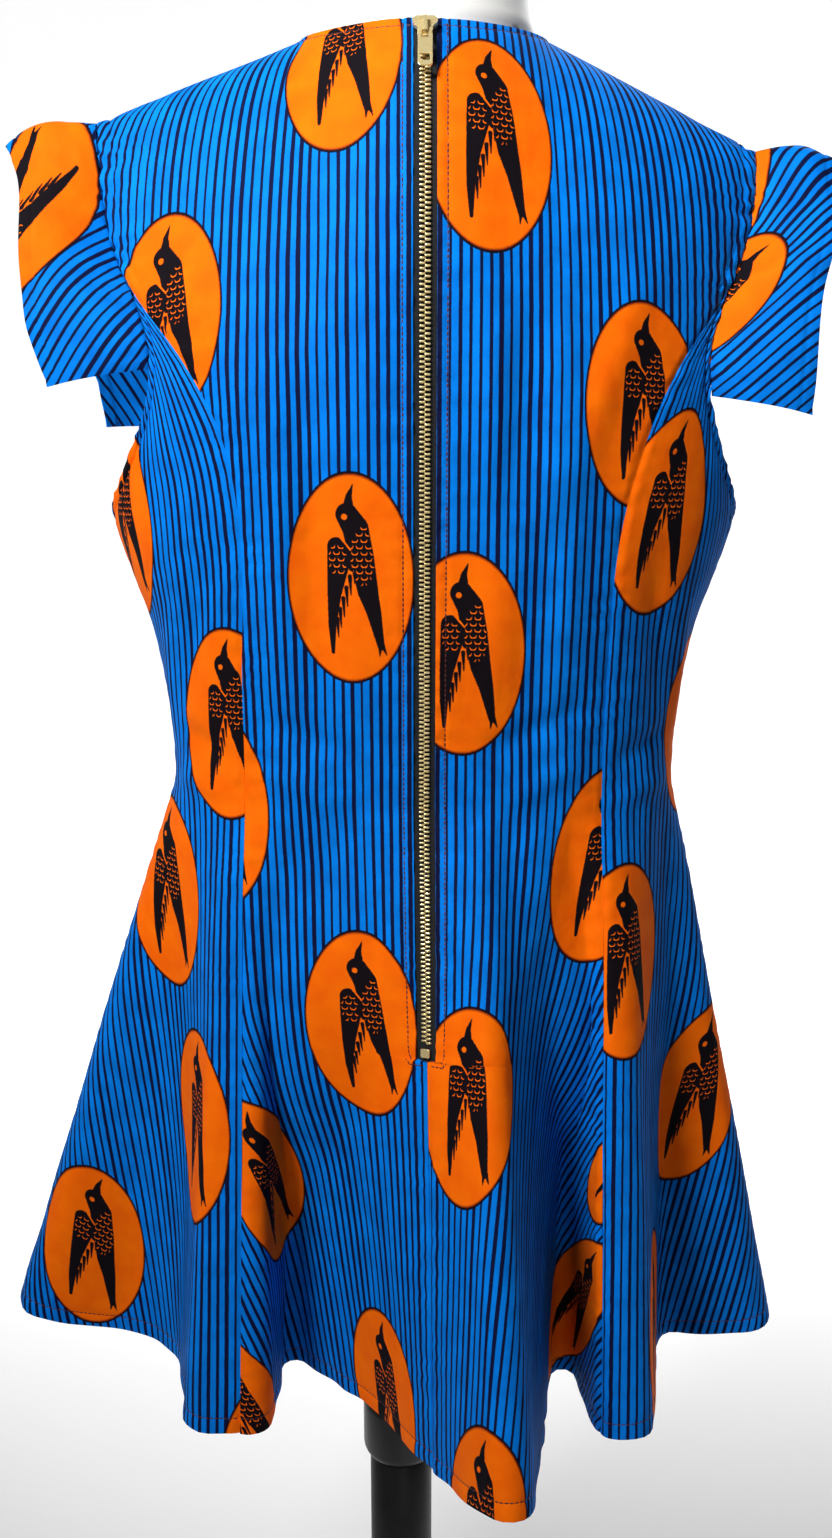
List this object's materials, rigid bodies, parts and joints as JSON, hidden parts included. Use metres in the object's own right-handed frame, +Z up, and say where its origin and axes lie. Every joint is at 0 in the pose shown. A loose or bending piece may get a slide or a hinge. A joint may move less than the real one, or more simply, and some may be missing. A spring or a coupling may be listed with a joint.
{
  "type": "wax print dress on a dress form",
  "caption": "Short flared dress with cap sleeves and an exposed back zip, standing on a limbless dress form with a round base.",
  "frame": {"origin": "centre of the base's underside, on the floor under the pole", "axes": "+Z up the pole, -Y out of the zipped back, +X to the wearer's right"},
  "size_m": [0.494, 0.4082, 1.474],
  "materials": {
    "wax_print": "blue and orange printed cotton",
    "zip_tape": "black woven tape",
    "zip_metal": "polished brass",
    "form": "smooth white",
    "stand": "satin black"
  },
  "bodies": {
    "dress_on_form": {"back_centre_left": "wax_print", "back_centre_right": "wax_print", "back_side_left": "wax_print", "back_side_right": "wax_print", "front_centre": "wax_print", "front_side_left": "wax_print", "front_side_right": "wax_print", "sleeve_left": "wax_print", "sleeve_right": "wax_print", "zip_tape_left": "zip_tape", "zip_tape_right": "zip_tape", "zip_slider": "zip_metal", "zip_stop": "zip_metal", "form_torso": "form", "stand_base": "stand", "stand_pole": "stand", "stand_collar": "stand", "stand_tube": "stand"},
    "pull_tab": {"zip_pull": "zip_metal"}
  },
  "joints": [
    {"name": "pull_tab_hinge", "type": "hinge", "parent": "dress_on_form", "child": "pull_tab", "pos_m": [0.015, -0.06944, 1.39135], "axis": [-1, 0, 0], "range_deg": [0, 150]}
  ]
}
